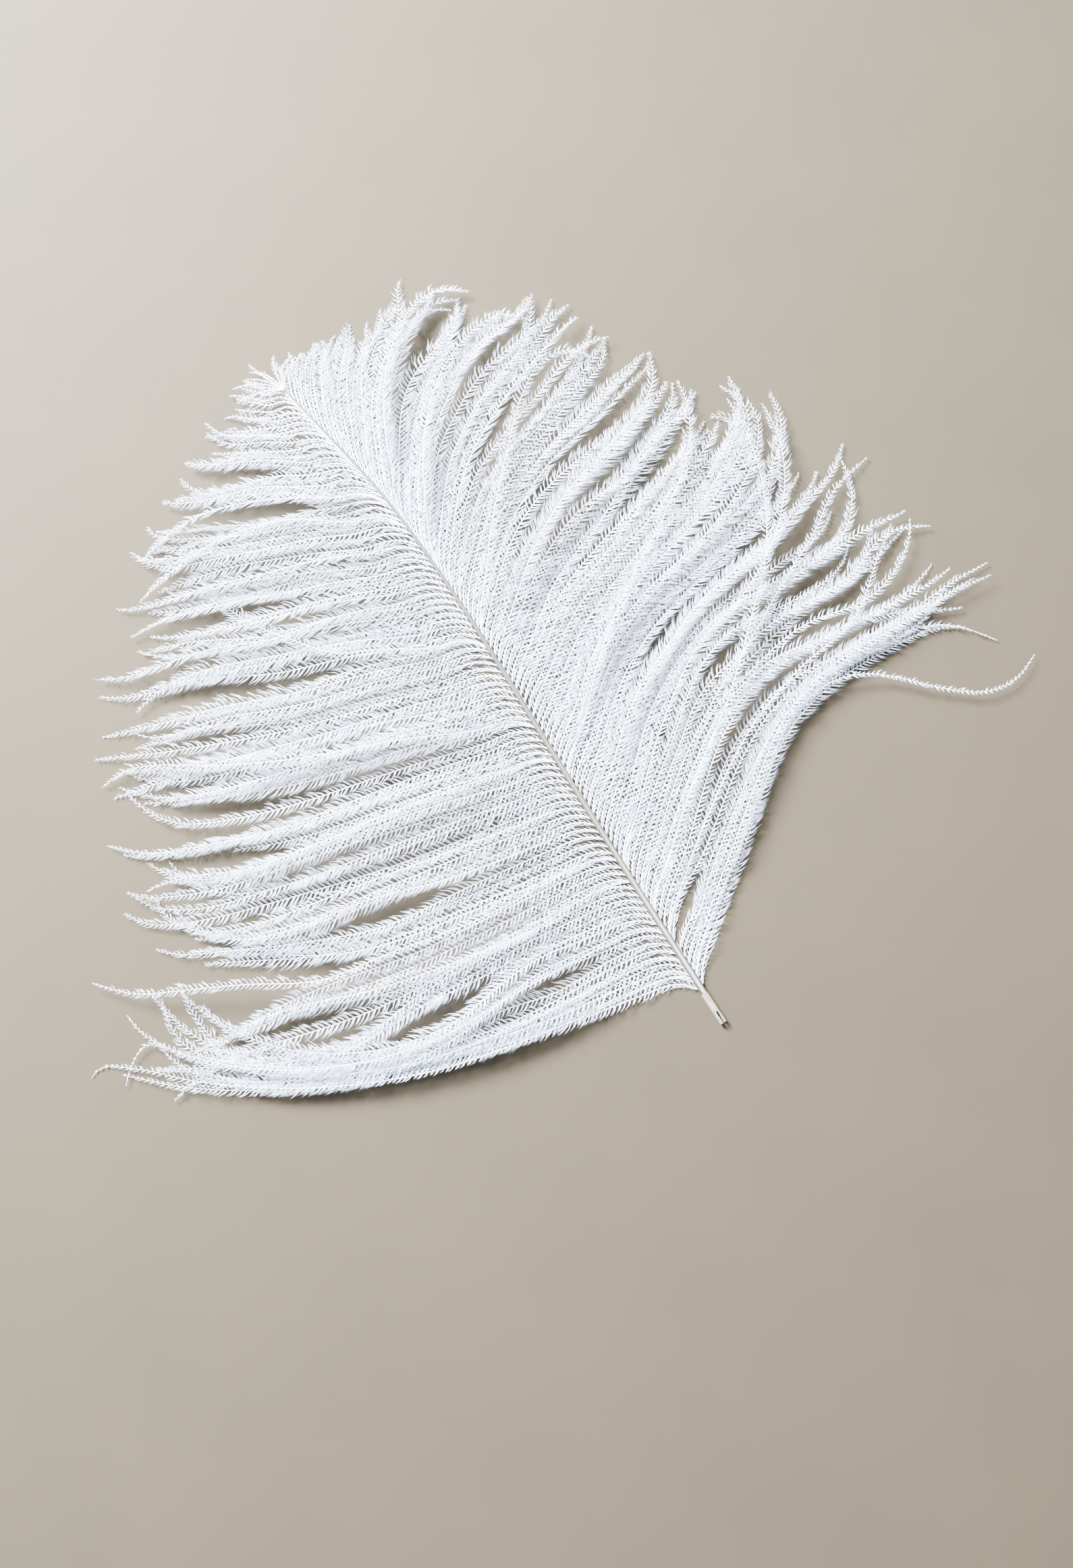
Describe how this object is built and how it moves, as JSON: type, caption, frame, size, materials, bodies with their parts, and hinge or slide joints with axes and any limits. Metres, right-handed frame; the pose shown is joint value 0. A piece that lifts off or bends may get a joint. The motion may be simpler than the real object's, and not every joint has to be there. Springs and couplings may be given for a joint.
{
  "type": "ostrich plume",
  "caption": "Single white ostrich plume: a slender split quill and bending shaft with two wide vanes of long, loose, curling barbs.",
  "frame": {"origin": "on the shaft's axis where the quill's round wall begins, above the split prongs", "axes": "+Y along the shaft from quill to tip, +X towards the right vane seen from the upper face, +Z out of the upper face"},
  "size_m": [0.1968, 0.1665, 0.0055],
  "materials": {
    "quill_keratin": "satin horn, cream white",
    "shaft_keratin": "satin horn, beige grey",
    "shaft_pith": "matt, soft",
    "barb_white": "soft matt white with a faint cool sheen"
  },
  "bodies": {
    "base": {"quill": "quill_keratin", "pulp_plug": "shaft_pith", "rachis_cortex_1": "quill_keratin", "rachis_pith_1": "shaft_pith", "left_barbs_1": "barb_white", "left_barbs_2": "barb_white", "right_barbs_1": "barb_white", "right_barbs_2": "barb_white"},
    "lower": {"rachis_cortex_2": "quill_keratin", "rachis_pith_2": "shaft_pith", "left_barbs_3": "barb_white", "left_barbs_4": "barb_white", "right_barbs_3": "barb_white", "right_barbs_4": "barb_white"},
    "middle": {"rachis_cortex_3": "shaft_keratin", "rachis_pith_3": "shaft_pith", "left_barbs_5": "barb_white", "left_barbs_6": "barb_white", "right_barbs_5": "barb_white", "right_barbs_6": "barb_white"},
    "upper": {"rachis_cortex_4": "shaft_keratin", "rachis_pith_4": "shaft_pith", "left_barbs_7": "barb_white", "left_barbs_8": "barb_white", "right_barbs_7": "barb_white", "right_barbs_8": "barb_white"},
    "end": {"rachis_cortex_5": "shaft_keratin", "rachis_pith_5": "shaft_pith", "left_barbs_9": "barb_white", "left_barbs_10": "barb_white", "right_barbs_9": "barb_white", "right_barbs_10": "barb_white", "tip_barbs": "barb_white"}
  },
  "joints": [
    {"name": "shaft_bend_1", "type": "hinge", "parent": "base", "child": "lower", "pos_m": [0, 0.03, 0], "axis": [1, 0, 0], "range_deg": [-5, 15], "stiffness_Nm_per_rad": 0.0055},
    {"name": "shaft_bend_2", "type": "hinge", "parent": "lower", "child": "middle", "pos_m": [0.0006, 0.061, 0.0008], "axis": [1, 0, 0], "range_deg": [-5, 15], "stiffness_Nm_per_rad": 0.0024},
    {"name": "shaft_bend_3", "type": "hinge", "parent": "middle", "child": "upper", "pos_m": [0.0012, 0.092, 0.002], "axis": [1, 0, 0], "range_deg": [-5, 15], "stiffness_Nm_per_rad": 0.0009},
    {"name": "shaft_bend_4", "type": "hinge", "parent": "upper", "child": "end", "pos_m": [0, 0.123, 0.0034], "axis": [1, 0, 0], "range_deg": [-5, 15], "stiffness_Nm_per_rad": 0.00026}
  ]
}
